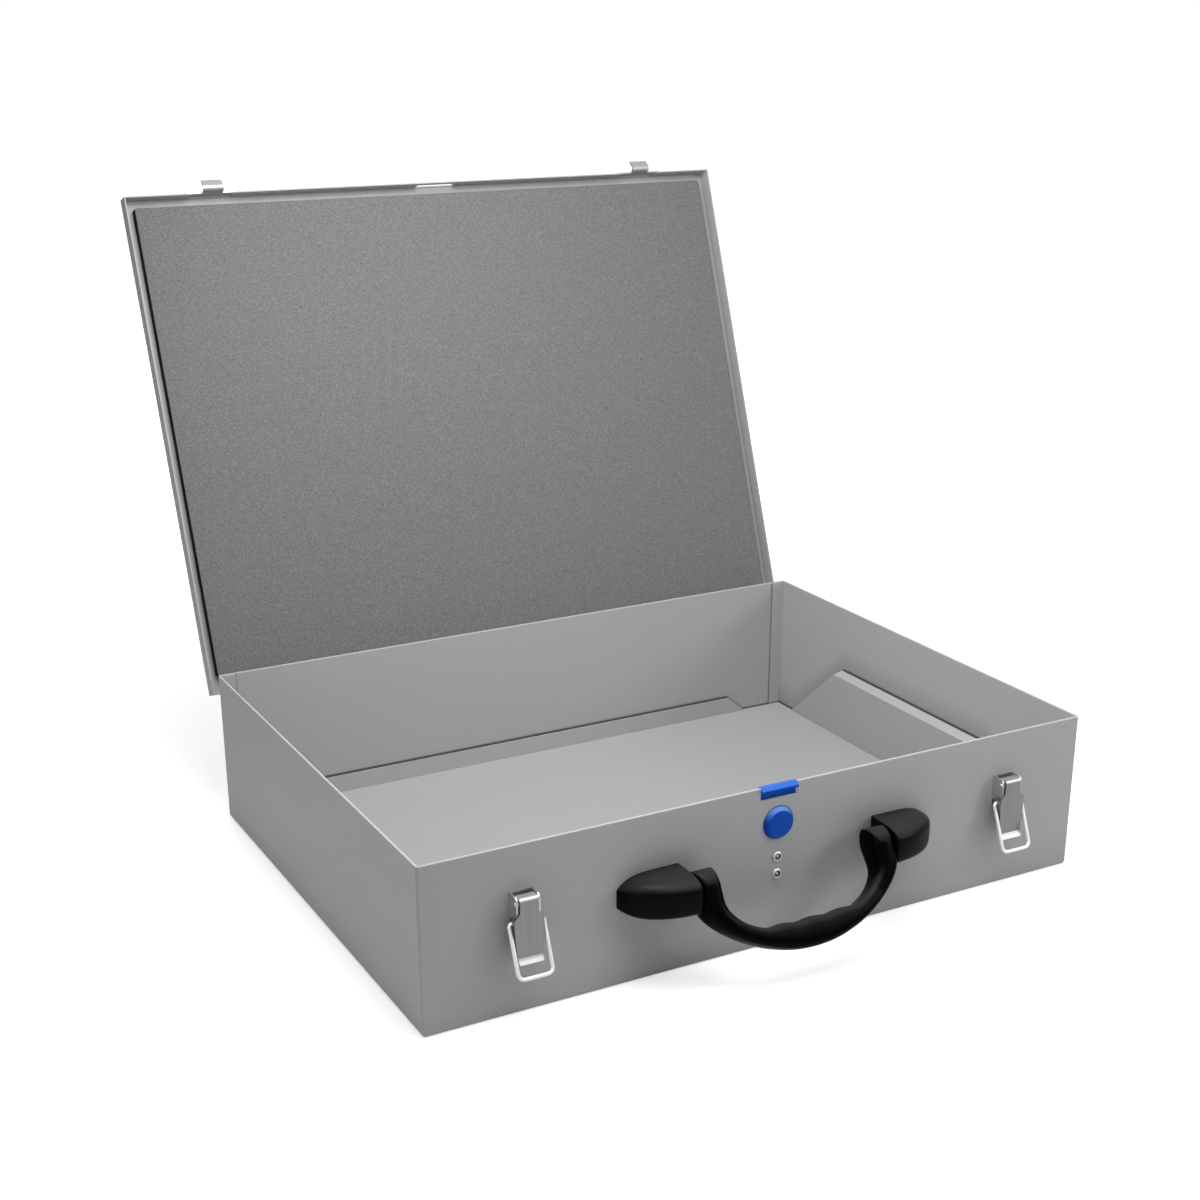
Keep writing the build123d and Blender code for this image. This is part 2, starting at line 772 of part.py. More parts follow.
# The inner and outer edge of the bow, from its middle to the eye, as shares of the half width
# and of the reach
inner_edge = [
    (0.231, 0.627),
    (0.463, 0.614),
    (0.610, 0.537),
    (0.719, 0.404),
    (0.776, 0.273),
    (handle_arm_inner / handle_arm_outer, 0.131),
    (handle_arm_inner / handle_arm_outer, 0),
]
outer_edge = [
    (0.239, 0.967),
    (0.486, 0.860),
    (0.699, 0.705),
    (0.880, 0.507),
    (0.985, 0.306),
    (1, 0.131),
    (1, 0),
]


def edge_curve(shares, middle):
    points = [(x * handle_arm_outer, -y * handle_grip_outer) for x, y in shares]
    mirrored = [(-x, y) for x, y in reversed(points)]
    return Spline(
        *mirrored,
        (0, -middle),
        *points,
        tangents=((0, -1), (0, 1)),
        mode=Mode.PRIVATE,
    )


inner_curve = edge_curve(inner_edge, handle_grip_inner)
outer_curve = edge_curve(outer_edge, handle_grip_outer)


def grip_section(t):
    # A rounded cross section between the two edges; it deepens towards the eyes
    inner = inner_curve.position_at(t, position_mode=PositionMode.PARAMETER)
    outer = outer_curve.position_at(t, position_mode=PositionMode.PARAMETER)
    across = outer - inner
    middle = (inner + outer) / 2
    swell = max(0, 1 + middle.Y / handle_taper) * (2 * handle_end_radius - handle_depth)
    place = Plane(
        origin=handle_plane.from_local_coords(middle),
        x_dir=handle_plane.x_dir * across.X + handle_plane.y_dir * across.Y,
        z_dir=handle_plane.y_dir * across.X - handle_plane.x_dir * across.Y,
    )
    with BuildSketch(place) as section:
        RectangleRounded(across.length, handle_depth + swell, handle_edge)
    return section.sketch


def grip_eye(s):
    # The upper half of the round eye at the end of an arm
    with BuildPart() as eye:
        with Locations((s * eye_middle, front_face - handle_axis_out, handle_axis_height)):
            Cylinder(handle_end_radius, eye_width, rotation=(0, 90, 0))
        fillet(eye.edges().filter_by(GeomType.CIRCLE), radius=handle_edge)
        split(bisect_by=Plane(handle_plane.origin, z_dir=handle_plane.y_dir))
    return eye.part


with BuildPart() as handle_grip:
    loft([grip_section(i / grip_spans) for i in range(grip_spans + 1)], ruled=True)
    add(grip_eye(-1))
    add(grip_eye(1))
    stud_reach = handle_arm_outer + handle_stud_length
    for s in (-1, 1):
        stud_x = s * (stud_reach - (handle_stud_length + handle_stud_root) / 2)
        with Locations((stud_x, front_face - handle_axis_out, handle_axis_height)):
            Cylinder(
                handle_stud / 2,
                handle_stud_length + handle_stud_root,
                rotation=(0, 90, 0),
            )
save(handle_grip.part, "handle_grip")


def bracket_section(along, s):
    # Reach, underside and top all close in towards the outer end, slowly at first
    x = bracket_inner + along * (bracket_outer - bracket_inner)
    reach = bracket_out * (1 - along**bracket_fullness) ** bracket_nose
    tall = bracket_high - bracket_low
    low = bracket_low + bracket_low_rise * tall * along**8
    high = bracket_high - bracket_high_fall * tall * along**6
    with BuildSketch(side_plane(s * x)) as section:
        Polygon((0, low), (reach, low), (reach, high), (0, high), align=None)
        corners = section.vertices().sort_by(Axis.X)[-2:]
        fillet(corners, radius=min(bracket_round, 0.42 * reach))
    return section.sketch


def handle_bracket(s):
    with BuildPart() as part:
        loft([bracket_section(along, s) for along in bracket_steps], ruled=True)
        with Locations((s * bracket_inner, front_face - handle_axis_out, handle_axis_height)):
            socket = handle_arm_outer + handle_stud_length - bracket_inner + bracket_end_gap
            Cylinder(
                handle_stud / 2 + handle_stud_play,
                2 * socket,
                rotation=(0, 90, 0),
                mode=Mode.SUBTRACT,
            )
        with BuildSketch(front_plane):
            with Locations([(s * x, handle_axis_height) for x in screw_x]):
                Circle(screw_shank / 2)
        extrude(amount=screw_depth, mode=Mode.SUBTRACT)
    return part.part


save(handle_bracket(-1), "handle_bracket_left")
save(handle_bracket(1), "handle_bracket_right")


def bracket_screws(s):
    # Screws driven from inside the case through the front wall into the bracket
    with BuildPart() as part:
        for x in screw_x:
            with BuildSketch(front_plane.offset(-body_sheet)):
                with Locations((s * x, handle_axis_height)):
                    Circle(screw_head / 2)
            extrude(amount=-screw_head_height)
            with BuildSketch(front_plane.offset(-body_sheet)):
                with Locations((s * x, handle_axis_height)):
                    Circle(screw_shank / 2)
            extrude(amount=body_sheet + screw_depth - screw_point_gap)
        heads = part.faces().group_by(Axis.Y)[-1]
        chamfer(heads.edges(), length=screw_head_edge)
        with BuildSketch(front_plane.offset(-body_sheet - screw_head_height)):
            with Locations([(s * x, handle_axis_height) for x in screw_x]):
                Rectangle(*screw_cross)
                Rectangle(*reversed(screw_cross))
        extrude(amount=screw_cross_depth, mode=Mode.SUBTRACT)
    return part.part


save(bracket_screws(-1), "handle_screws_left")
save(bracket_screws(1), "handle_screws_right")
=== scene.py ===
# %% [markdown]
# A steel organizer case stands open on a white table. The CAD model holds every part, so this
# lesson gives the parts their finishes, then computes finer surfaces for the foam pad, the
# rivets, the push button, the grip and its brackets, and last sets up the table, the lamps and
# the camera.

import json
import math

import bmesh
import bpy
import numpy as np
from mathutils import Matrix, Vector


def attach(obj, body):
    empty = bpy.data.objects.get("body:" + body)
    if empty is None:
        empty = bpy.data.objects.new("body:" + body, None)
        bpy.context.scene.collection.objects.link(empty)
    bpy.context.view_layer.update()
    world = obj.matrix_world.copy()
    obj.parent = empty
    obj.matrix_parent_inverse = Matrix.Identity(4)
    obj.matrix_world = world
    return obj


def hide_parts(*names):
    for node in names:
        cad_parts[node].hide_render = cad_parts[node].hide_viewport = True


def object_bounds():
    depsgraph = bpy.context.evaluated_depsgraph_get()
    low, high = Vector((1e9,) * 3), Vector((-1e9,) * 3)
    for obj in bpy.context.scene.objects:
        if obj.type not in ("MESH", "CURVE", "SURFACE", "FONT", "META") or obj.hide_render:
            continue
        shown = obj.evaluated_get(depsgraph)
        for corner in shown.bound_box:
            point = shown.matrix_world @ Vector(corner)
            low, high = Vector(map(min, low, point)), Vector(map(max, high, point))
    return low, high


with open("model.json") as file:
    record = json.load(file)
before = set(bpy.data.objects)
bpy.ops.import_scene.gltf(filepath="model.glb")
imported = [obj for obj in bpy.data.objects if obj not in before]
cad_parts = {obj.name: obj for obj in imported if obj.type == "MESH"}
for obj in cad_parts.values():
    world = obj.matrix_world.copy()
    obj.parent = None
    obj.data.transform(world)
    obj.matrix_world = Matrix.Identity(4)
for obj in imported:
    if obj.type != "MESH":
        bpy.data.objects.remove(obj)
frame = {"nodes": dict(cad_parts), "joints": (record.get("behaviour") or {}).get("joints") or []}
nodes = frame["nodes"]


def plain(box):
    """The two corners of a box as plain lists of numbers."""
    return [[float(value) for value in corner] for corner in box]


def corner_points(node):
    """The points of a CAD node's mesh, with their lowest and highest values along each axis."""
    points = np.array([vertex.co[:] for vertex in node.data.vertices])
    return points, points.min(axis=0), points.max(axis=0)


cad_box = plain(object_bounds())
print("CAD box", cad_box)

# %% [markdown]
# Several finishes on this case share one effect: tiny bumps and a slight unevenness of tone.
# Powder coat has them as orange peel, moulded plastic as a spark-eroded grain. One shader node
# group makes both, so it is built once and each material places it with its own values.

# %% A node group for fine grain
def new_group(name, inputs, outputs):
    """An empty shader node group with float or colour sockets, and its input and output nodes."""
    group = bpy.data.node_groups.new(name, "ShaderNodeTree")
    for socket, kind, value in inputs:
        made = group.interface.new_socket(socket, in_out="INPUT", socket_type=kind)
        made.default_value = value
    for socket, kind in outputs:
        group.interface.new_socket(socket, in_out="OUTPUT", socket_type=kind)
    start = group.nodes.new("NodeGroupInput")
    end = group.nodes.new("NodeGroupOutput")
    return group, start, end


def math_node(tree, operation, *values):
    """A Math node whose inputs are numbers or sockets, returned as its output socket."""
    node = tree.nodes.new("ShaderNodeMath")
    node.operation = operation
    for socket, value in zip(node.inputs, values):
        if isinstance(value, (int, float)):
            socket.default_value = value
        else:
            tree.links.new(value, socket)
    return node.outputs[0]


def noise(tree, vector, scale, detail, roughness=0.5):
    """A Noise Texture on the given coordinates, returned as its value socket."""
    node = tree.nodes.new("ShaderNodeTexNoise")
    node.inputs["Scale"].default_value = scale
    node.inputs["Detail"].default_value = detail
    node.inputs["Roughness"].default_value = roughness
    tree.links.new(vector, node.inputs["Vector"])
    return node.outputs["Fac"]


FLOAT, COLOUR = "NodeSocketFloat", "NodeSocketColor"
cloud_scale, cloud_detail, fine_detail = 7.0, 3.0, 2.0

grain, grain_in, grain_out = new_group(
    "fine grain",
    [
        ("Colour", COLOUR, (0.5, 0.5, 0.5, 1.0)),
        ("Scale", FLOAT, 900.0),
        ("Tone", FLOAT, 0.05),
        ("Roughness", FLOAT, 0.5),
        ("Spread", FLOAT, 0.06),
    ],
    [("Colour", COLOUR), ("Roughness", FLOAT), ("Height", FLOAT)],
)
place = grain.nodes.new("ShaderNodeTexCoord").outputs["Object"]
fine = grain.nodes.new("ShaderNodeTexNoise")
fine.inputs["Detail"].default_value = fine_detail
grain.links.new(place, fine.inputs["Vector"])
grain.links.new(grain_in.outputs["Scale"], fine.inputs["Scale"])
cloud = noise(grain, place, cloud_scale, cloud_detail)
cloud_shift = math_node(grain, "SUBTRACT", cloud, 0.5)
tone_shift = math_node(grain, "MULTIPLY", cloud_shift, grain_in.outputs["Tone"])
tone = math_node(grain, "ADD", tone_shift, 1.0)
tinted = grain.nodes.new("ShaderNodeVectorMath")
tinted.operation = "SCALE"
grain.links.new(grain_in.outputs["Colour"], tinted.inputs[0])
grain.links.new(tone, tinted.inputs["Scale"])
rough_shift = math_node(grain, "MULTIPLY", cloud_shift, grain_in.outputs["Spread"])
rough = math_node(grain, "ADD", rough_shift, grain_in.outputs["Roughness"])
grain.links.new(tinted.outputs[0], grain_out.inputs["Colour"])
grain.links.new(rough, grain_out.inputs["Roughness"])
grain.links.new(fine.outputs["Fac"], grain_out.inputs["Height"])
print("node group", grain.name)

# %% [markdown]
# Each finish is a Principled BSDF. Values that are the same all over are set on the shader's
# own sockets, and only what changes over the surface comes in through the group.

# %% Finishes for painted steel and plastic
grain_depth = 0.00006


def new_material(name):
    """A material with a Principled BSDF, returned with its tree and its shader node."""
    material = bpy.data.materials.new(name)
    material.use_nodes = True
    return material, material.node_tree, material.node_tree.nodes["Principled BSDF"]


def add_bump(tree, shader, height, strength, distance):
    """Feeds a height into the shader's normal through a Bump node."""
    bump = tree.nodes.new("ShaderNodeBump")
    bump.inputs["Strength"].default_value = strength
    bump.inputs["Distance"].default_value = distance
    tree.links.new(height, bump.inputs["Height"])
    tree.links.new(bump.outputs["Normal"], shader.inputs["Normal"])


def grained(name, colour, roughness, scale, bump=0.12, metallic=0.0, specular=0.5):
    """A finish whose colour, roughness and small bumps come from the fine grain group, which
    keeps its own share of uneven tone and roughness."""
    material, tree, shader = new_material(name)
    effect = tree.nodes.new("ShaderNodeGroup")
    effect.node_tree = grain
    effect.inputs["Colour"].default_value = (*colour, 1.0)
    effect.inputs["Scale"].default_value = scale
    effect.inputs["Roughness"].default_value = roughness
    tree.links.new(effect.outputs["Colour"], shader.inputs["Base Color"])
    tree.links.new(effect.outputs["Roughness"], shader.inputs["Roughness"])
    add_bump(tree, shader, effect.outputs["Height"], bump, grain_depth)
    shader.inputs["Metallic"].default_value = metallic
    shader.inputs["Specular IOR Level"].default_value = specular
    return material


grey = (0.36, 0.362, 0.365)
# Painted light: the liner's grey is the shell's grey made a little lighter, so that its sloping
# wings read brighter than the walls
liner_lit_grey = (0.376, 0.378, 0.381)
coat = {"roughness": 0.5, "scale": 1400.0, "specular": 0.3}
plate = {"scale": 500.0, "metallic": 1.0}
lid_paint = grained("grey powder coat", grey, **coat)
liner_paint = grained("liner grey paint", liner_lit_grey, **coat)
black_plastic = grained(
    "black moulded plastic", (0.002, 0.002, 0.0022), 0.34, 1600.0, bump=0.15, specular=0.05
)
grip_plastic = grained(
    "black grip plastic", (0.0006, 0.0006, 0.0006), 0.24, 1600.0, bump=0.1, specular=0.028
)
blue_plastic = grained(
    "blue moulded plastic", (0.001, 0.066, 0.40), 0.28, 1200.0, bump=0.05, specular=0.07
)
button_plastic = grained(
    "blue button plastic", (0.001, 0.062, 0.39), 0.24, 1200.0, bump=0.05, specular=0.09
)
bright_zinc = grained("bright zinc plate", (0.6, 0.61, 0.62), 0.4, **plate)
wire_zinc = grained("zinc plated wire", (0.8, 0.81, 0.82), 0.5, **plate)
dull_zinc = grained("dull zinc plate", (0.42, 0.43, 0.44), 0.45, **plate)
satin_steel = grained("satin steel", (0.45, 0.46, 0.47), 0.38, **plate)
# Painted shade: a near black finish for the inside of the rivets' deep rings
painted_recess_shade = grained("painted rivet recess shade", (0.02, 0.02, 0.021), 0.6, 500.0)

# %% [markdown]
# Moulded plastic gets a painted sheen where it faces up: a paler tone stands in for the light
# that its upper faces catch. A group gives the share of this painted sheen from the surface's
# own normal, and each plastic is mixed with its pale tone by that share. The table gives how far
# up a face has to point before it gets paler, and the pale tone.

# %% Painted sheen on the upper faces of the plastics
sheen_group, sheen_in, sheen_out = new_group(
    "painted upward sheen", [("From", FLOAT, 0.2), ("To", FLOAT, 0.95)], [("Fac", FLOAT)]
)
own_normal = sheen_group.nodes.new("ShaderNodeSeparateXYZ")
sheen_place = sheen_group.nodes.new("ShaderNodeTexCoord")
sheen_group.links.new(sheen_place.outputs["Normal"], own_normal.inputs[0])
upward = sheen_group.nodes.new("ShaderNodeMapRange")
upward.interpolation_type = "SMOOTHSTEP"
sheen_group.links.new(own_normal.outputs["Z"], upward.inputs["Value"])
sheen_group.links.new(sheen_in.outputs["From"], upward.inputs["From Min"])
sheen_group.links.new(sheen_in.outputs["To"], upward.inputs["From Max"])
sheen_group.links.new(upward.outputs["Result"], sheen_out.inputs["Fac"])


def mix_in(material, factor, colour):
    """Mixes a second colour into a material's base colour by a factor socket."""
    tree = material.node_tree
    base = tree.nodes["Principled BSDF"].inputs["Base Color"]
    mix = tree.nodes.new("ShaderNodeMix")
    mix.data_type = "RGBA"
    tree.links.new(factor, mix.inputs["Factor"])
    tree.links.new(base.links[0].from_socket, mix.inputs[6])
    mix.inputs[7].default_value = (*colour, 1.0)
    tree.links.new(mix.outputs[2], base)


painted_sheen_tops = [
    (black_plastic, 0.2, (0.026, 0.026, 0.027)),
    (grip_plastic, 0.48, (0.026, 0.026, 0.0265)),
    (blue_plastic, 0.2, (0.04, 0.13, 0.54)),
    (button_plastic, 0.2, (0.14, 0.32, 0.78)),
]
# Painted sheen: each plastic gets a paler base colour on the faces that point up
for plastic, start, pale in painted_sheen_tops:
    sheen_share = plastic.node_tree.nodes.new("ShaderNodeGroup")
    sheen_share.node_tree = sheen_group
    sheen_share.inputs["From"].default_value = start
    mix_in(plastic, sheen_share.outputs["Fac"], pale)
print("plastics with pale tops", len(painted_sheen_tops))

# %% [markdown]
# The latch levers are rolled from strip. Their flat face is dull with faint lengthwise
# streaks, and the bent ends, the cap at the top and the lip at the foot, carry a painted
# highlight: they are painted bright where they face the light.
# Height decides how bright: a band at each end fades into the face. A group makes the streaks,
# from a noise that is stretched along the strip.

# %% Finish of the latch levers
cap_start, cap_end = 0.0715, 0.0723
foot_start, foot_end = 0.0376, 0.0390
face_grey, streak_grey, highlight_grey = 0.21, 0.12, 0.52
face_roughness, end_roughness = 0.38, 0.50
streaks, streaks_in, streaks_out = new_group(
    "rolled streaks",
    [("Spacing", FLOAT, 260.0), ("Stretch", FLOAT, 0.03)],
    [("Fac", FLOAT)],
)
where = streaks.nodes.new("ShaderNodeTexCoord").outputs["Object"]
parts_of = streaks.nodes.new("ShaderNodeSeparateXYZ")
streaks.links.new(where, parts_of.inputs[0])
squeezed = streaks.nodes.new("ShaderNodeCombineXYZ")
along = math_node(streaks, "MULTIPLY", parts_of.outputs["Z"], streaks_in.outputs["Stretch"])
streaks.links.new(parts_of.outputs["X"], squeezed.inputs["X"])
streaks.links.new(along, squeezed.inputs["Z"])
lines = streaks.nodes.new("ShaderNodeTexNoise")
lines.inputs["Detail"].default_value = 1.0
streaks.links.new(squeezed.outputs[0], lines.inputs["Vector"])
streaks.links.new(streaks_in.outputs["Spacing"], lines.inputs["Scale"])
streaks.links.new(lines.outputs["Fac"], streaks_out.inputs["Fac"])


def band(tree, value, low, high):
    """0 below low, 1 above high and a smooth step between them."""
    node = tree.nodes.new("ShaderNodeMapRange")
    node.interpolation_type = "SMOOTHSTEP"
    node.inputs["From Min"].default_value = low
    node.inputs["From Max"].default_value = high
    tree.links.new(value, node.inputs["Value"])
    return node.outputs["Result"]


def height_of(tree):
    """The object's own height coordinate as a socket."""
    split = tree.nodes.new("ShaderNodeSeparateXYZ")
    tree.links.new(tree.nodes.new("ShaderNodeTexCoord").outputs["Object"], split.inputs[0])
    return split.outputs["Z"]


lever_zinc, lever_tree, lever_shader = new_material("rolled zinc strip")
lever_height = height_of(lever_tree)
cap_band = band(lever_tree, lever_height, cap_start, cap_end)
above_foot = band(lever_tree, lever_height, foot_start, foot_end)
foot_band = math_node(lever_tree, "SUBTRACT", 1.0, above_foot)
# Painted highlight: the cap and the lip are painted bright where they face the light
bright_ends = math_node(lever_tree, "MAXIMUM", cap_band, foot_band)
streak_effect = lever_tree.nodes.new("ShaderNodeGroup")
streak_effect.node_tree = streaks
streak_shift = math_node(lever_tree, "MULTIPLY", streak_effect.outputs["Fac"], streak_grey)
face_value = math_node(lever_tree, "ADD", streak_shift, face_grey)
lever_value = lever_tree.nodes.new("ShaderNodeMix")
lever_tree.links.new(bright_ends, lever_value.inputs["Factor"])
lever_tree.links.new(face_value, lever_value.inputs[2])
lever_value.inputs[3].default_value = highlight_grey
lever_grey = lever_tree.nodes.new("ShaderNodeCombineColor")
for channel in ("Red", "Green", "Blue"):
    lever_tree.links.new(lever_value.outputs[0], lever_grey.inputs[channel])
lever_tree.links.new(lever_grey.outputs[0], lever_shader.inputs["Base Color"])
lever_shader.inputs["Metallic"].default_value = 1.0
lever_rough = math_node(lever_tree, "MULTIPLY", bright_ends, end_roughness - face_roughness)
lever_rough = math_node(lever_tree, "ADD", lever_rough, face_roughness)
lever_tree.links.new(lever_rough, lever_shader.inputs["Roughness"])
print("lever finish", lever_zinc.name)

# %% [markdown]
# The shell is cut from coated sheet. The narrow top rim of its walls carries a painted highlight
# for the light it catches: the same paint is mixed with a pale tone above a height just under
# the rim.

# %% Finish of the case body
rim_start, rim_fade = 0.0995, 0.0003
rim_height = cad_box[0][2] + rim_start
shell_paint = grained("grey coat with painted rim highlight", grey, **coat)
shell_tree = shell_paint.node_tree
rim_highlight = band(shell_tree, height_of(shell_tree), rim_height - rim_fade, rim_height)
# Painted highlight along the top rim of the walls
mix_in(shell_paint, rim_highlight, (0.52, 0.52, 0.52))
print("rim starts at", round(rim_height, 4))

# %% [markdown]
# Shade is painted into the narrow gaps between the shell and the loose liner, and a dark joint
# line into the laps of the back corners. The liner covers each wall up to a height that falls at a
# steady slope towards the ends of its wings and flaps. Just above that height the wall gets a
# sharp painted shade line, and a side wall a soft painted shade that fades over the next two
# centimetres. Only faces inside the shell count.

# %% Painted shade in the gaps of the shell
# The first two lie between the inner and the outer face of the walls, the third just above the
# floor, so that only the inner faces of the walls count
inner_half_width, inner_half_depth, inner_floor = 0.2194, 0.1619, 0.00105
# From this far out a point counts as on a side wall
side_start = 0.2176
liner_low = 0.0025
wing_foot, wing_slope, wing_top = 0.141, 0.833, 0.0542
flap_foot, flap_slope, flap_top = 0.185, 0.871, 0.0147
lap_start, lap_end, lap_front = 0.2083, 0.2091, 0.16
sharp_start, sharp_end, faint_end = 0.0004, 0.0015, 0.02
sharp_share, faint_share, lap_share = 0.8, 0.22, 0.5
shade_and_joint_tone = (0.04, 0.04, 0.041)


def both(tree, first, second):
    """The product of two shares, which is 1 only where both are."""
    return math_node(tree, "MULTIPLY", first, second)


def within(tree, value, low, high):
    """1 where a value lies between low and high, else 0."""
    above = math_node(tree, "GREATER_THAN", value, low)
    below = math_node(tree, "LESS_THAN", value, high)
    return both(tree, above, below)


def cover_height(tree, along, foot, slope, top):
    """Height that the liner reaches: liner_low + (foot - along) * slope, kept between liner_low
    and top."""
    rise = math_node(tree, "MULTIPLY", math_node(tree, "SUBTRACT", foot, along), slope)
    bounded = math_node(tree, "MINIMUM", math_node(tree, "ADD", rise, liner_low), top)
    return math_node(tree, "MAXIMUM", bounded, liner_low)


shell_split = shell_tree.nodes.new("ShaderNodeSeparateXYZ")
shell_place = shell_tree.nodes.new("ShaderNodeTexCoord")
shell_tree.links.new(shell_place.outputs["Object"], shell_split.inputs[0])
shell_y, shell_z = shell_split.outputs["Y"], shell_split.outputs["Z"]
from_middle = math_node(shell_tree, "ABSOLUTE", shell_split.outputs["X"])
from_centre = math_node(shell_tree, "ABSOLUTE", shell_y)
indoors = both(
    shell_tree,
    math_node(shell_tree, "LESS_THAN", from_middle, inner_half_width),
    math_node(shell_tree, "LESS_THAN", from_centre, inner_half_depth),
)
above_floor = math_node(shell_tree, "GREATER_THAN", shell_z, inner_floor)
indoors = both(shell_tree, indoors, above_floor)
on_side = math_node(shell_tree, "GREATER_THAN", from_middle, side_start)
side_cover = cover_height(shell_tree, from_centre, wing_foot, wing_slope, wing_top)
end_cover = cover_height(shell_tree, from_middle, flap_foot, flap_slope, flap_top)
cover = shell_tree.nodes.new("ShaderNodeMix")
shell_tree.links.new(on_side, cover.inputs["Factor"])
shell_tree.links.new(end_cover, cover.inputs[2])
shell_tree.links.new(side_cover, cover.inputs[3])
above_cover = math_node(shell_tree, "SUBTRACT", shell_z, cover.outputs[0])
past_shade_line = band(shell_tree, above_cover, sharp_start, sharp_end)
sharp = math_node(shell_tree, "SUBTRACT", 1.0, past_shade_line)
faint = math_node(shell_tree, "SUBTRACT", 1.0, band(shell_tree, above_cover, 0.0, faint_end))
# Painted shade: a sharp dark line just above the liner's edge, and a soft shade that fades up the
# side walls
gap_shade = math_node(
    shell_tree,
    "MAXIMUM",
    math_node(shell_tree, "MULTIPLY", sharp, sharp_share),
    math_node(shell_tree, "MULTIPLY", both(shell_tree, faint, on_side), faint_share),
)
# A dark joint line along the edge of each back corner's lap
lap = both(
    shell_tree,
    within(shell_tree, from_middle, lap_start, lap_end),
    within(shell_tree, shell_y, lap_front, inner_half_depth),
)
lap_joint_line = math_node(shell_tree, "MULTIPLY", lap, lap_share)
shade_and_joint = math_node(shell_tree, "MAXIMUM", gap_shade, lap_joint_line)
mix_in(shell_paint, both(shell_tree, shade_and_joint, indoors), shade_and_joint_tone)
print("shell finish has", len(shell_tree.nodes), "nodes")

# %% [markdown]
# Every CAD node gets its finish here. What isn't in the table is zinc plated, or is replaced by
# a finer surface further down.

# %% Finishes on the CAD nodes
finishes = {
    "body_shell": shell_paint,
    "lid_shell": lid_paint,
    "floor_liner": liner_paint,
    "handle_grip": grip_plastic,
    "handle_bracket_left": black_plastic,
    "handle_bracket_right": black_plastic,
    "lid_catch": blue_plastic,
    "release_button": button_plastic,
    "hinge_leaf_body": satin_steel,
    "hinge_leaf_lid": satin_steel,
    "hinge_pin": satin_steel,
    "catch_spring": satin_steel,
    "latch_left_lever": lever_zinc,
    "latch_right_lever": lever_zinc,
    "latch_left_base": bright_zinc,
    "latch_right_base": bright_zinc,
    "latch_left_bail": wire_zinc,
    "latch_right_bail": wire_zinc,
    "keeper_left": dull_zinc,
    "keeper_right": dull_zinc,
}
for name, node in nodes.items():
    finish = finishes.get(name, bright_zinc)
    node.data.materials.clear()
    node.data.materials.append(finish)
print("finished nodes", len(nodes))

# %% [markdown]
# The pad in the lid is a sheet of grey foam, cut to size and glued in. Its face is flat but
# speckled with open cells, its sides that face left and right are painted near black as painted
# shade, and its rim is slightly rounded. Rings round its outline, closed by a flat face in front
# and one behind, make the surface. It is worked out with the lid closed, where the pad lies level,
# and then swung open about the hinge pin.

# %% Shape of the foam pad
pad_points, _, _ = corner_points(nodes["lid_foam"])
lid_hinge = next(joint for joint in frame["joints"] if joint["name"] == "lid_hinge")
pivot = np.array(lid_hinge["pos_m"])
closing = math.radians(lid_hinge["range_deg"][1])


def swing(points, angle):
    """Points turned about the hinge pin: y and z rotate in their plane, x stays."""
    arm = points - pivot
    y = arm[:, 1] * math.cos(angle) - arm[:, 2] * math.sin(angle)
    z = arm[:, 1] * math.sin(angle) + arm[:, 2] * math.cos(angle)
    return np.column_stack([arm[:, 0], y, z]) + pivot


closed_pad = swing(pad_points, closing)
pad_low, pad_high = closed_pad.min(axis=0), closed_pad.max(axis=0)
pad_half = (pad_high - pad_low)[:2] / 2
pad_centre = (pad_high + pad_low)[:2] / 2
print("pad size", (pad_high - pad_low).round(4))


def rounded_ring(half, corner, inset, count):
    """Points around a rounded rectangle: each corner is a quarter circle of the corner radius,
    less the inset, about a centre that stays put, and straight sides join them."""
    radius = corner - inset
    quarter = np.linspace(0.0, math.pi / 2, count)
    rows = []
    for turn, (sx, sy) in enumerate(((1, 1), (-1, 1), (-1, -1), (1, -1))):
        centre = (half - corner) * np.array([sx, sy])
        angle = quarter + turn * math.pi / 2
        rows.append(centre + radius * np.column_stack([np.cos(angle), np.sin(angle)]))
    return np.concatenate(rows)


pad_corner, pad_corner_points = 0.0015, 9
edge_round, edge_points = 0.0007, 5
back_margin = 0.002
face_z, back_z = pad_low[2], pad_high[2]
sweep = np.linspace(0.0, math.pi / 2, edge_points)
levels = [(0.0, back_z), (0.0, back_z - back_margin)]
levels += [
    (edge_round * (1 - math.cos(a)), face_z + edge_round * (1 - math.sin(a))) for a in sweep
]
rings = []
for inset, height in levels:
    outline = rounded_ring(pad_half, pad_corner, inset, pad_corner_points) + pad_centre
    rings.append(np.column_stack([outline, np.full(len(outline), height)]))
ring_size = len(rings[0])
pad_vertices = np.concatenate(rings)
step = np.arange(ring_size)
following = (step + 1) % ring_size
pad_faces = []
for level in range(len(rings) - 1):
    a, b = level * ring_size, (level + 1) * ring_size
    pad_faces += np.column_stack([a + step, b + step, b + following, a + following]).tolist()
pad_faces.append(((len(rings) - 1) * ring_size + step).tolist())
pad_faces.append(step[::-1].tolist())


def new_piece(name, vertices, faces, material, body):
    """A smooth shaded mesh object at the origin that rides on a CAD body."""
    mesh = bpy.data.meshes.new(name)
    mesh.from_pydata(vertices.tolist(), [], faces)
    outward = bmesh.new()
    outward.from_mesh(mesh)
    bmesh.ops.recalc_face_normals(outward, faces=outward.faces)
    outward.to_mesh(mesh)
    outward.free()
    piece = bpy.data.objects.new(name, mesh)
    bpy.context.scene.collection.objects.link(piece)
    mesh.materials.append(material)
    mesh.polygons.foreach_set("use_smooth", np.full(len(mesh.polygons), True))
    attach(piece, body)
    return piece


# %% [markdown]
# Foam is coloured by its cells: pale ribs around darker pits. Voronoi cells mixed with a fine
# noise give the speckle. The sides whose normal points to the left or right get a painted shade,
# near black.

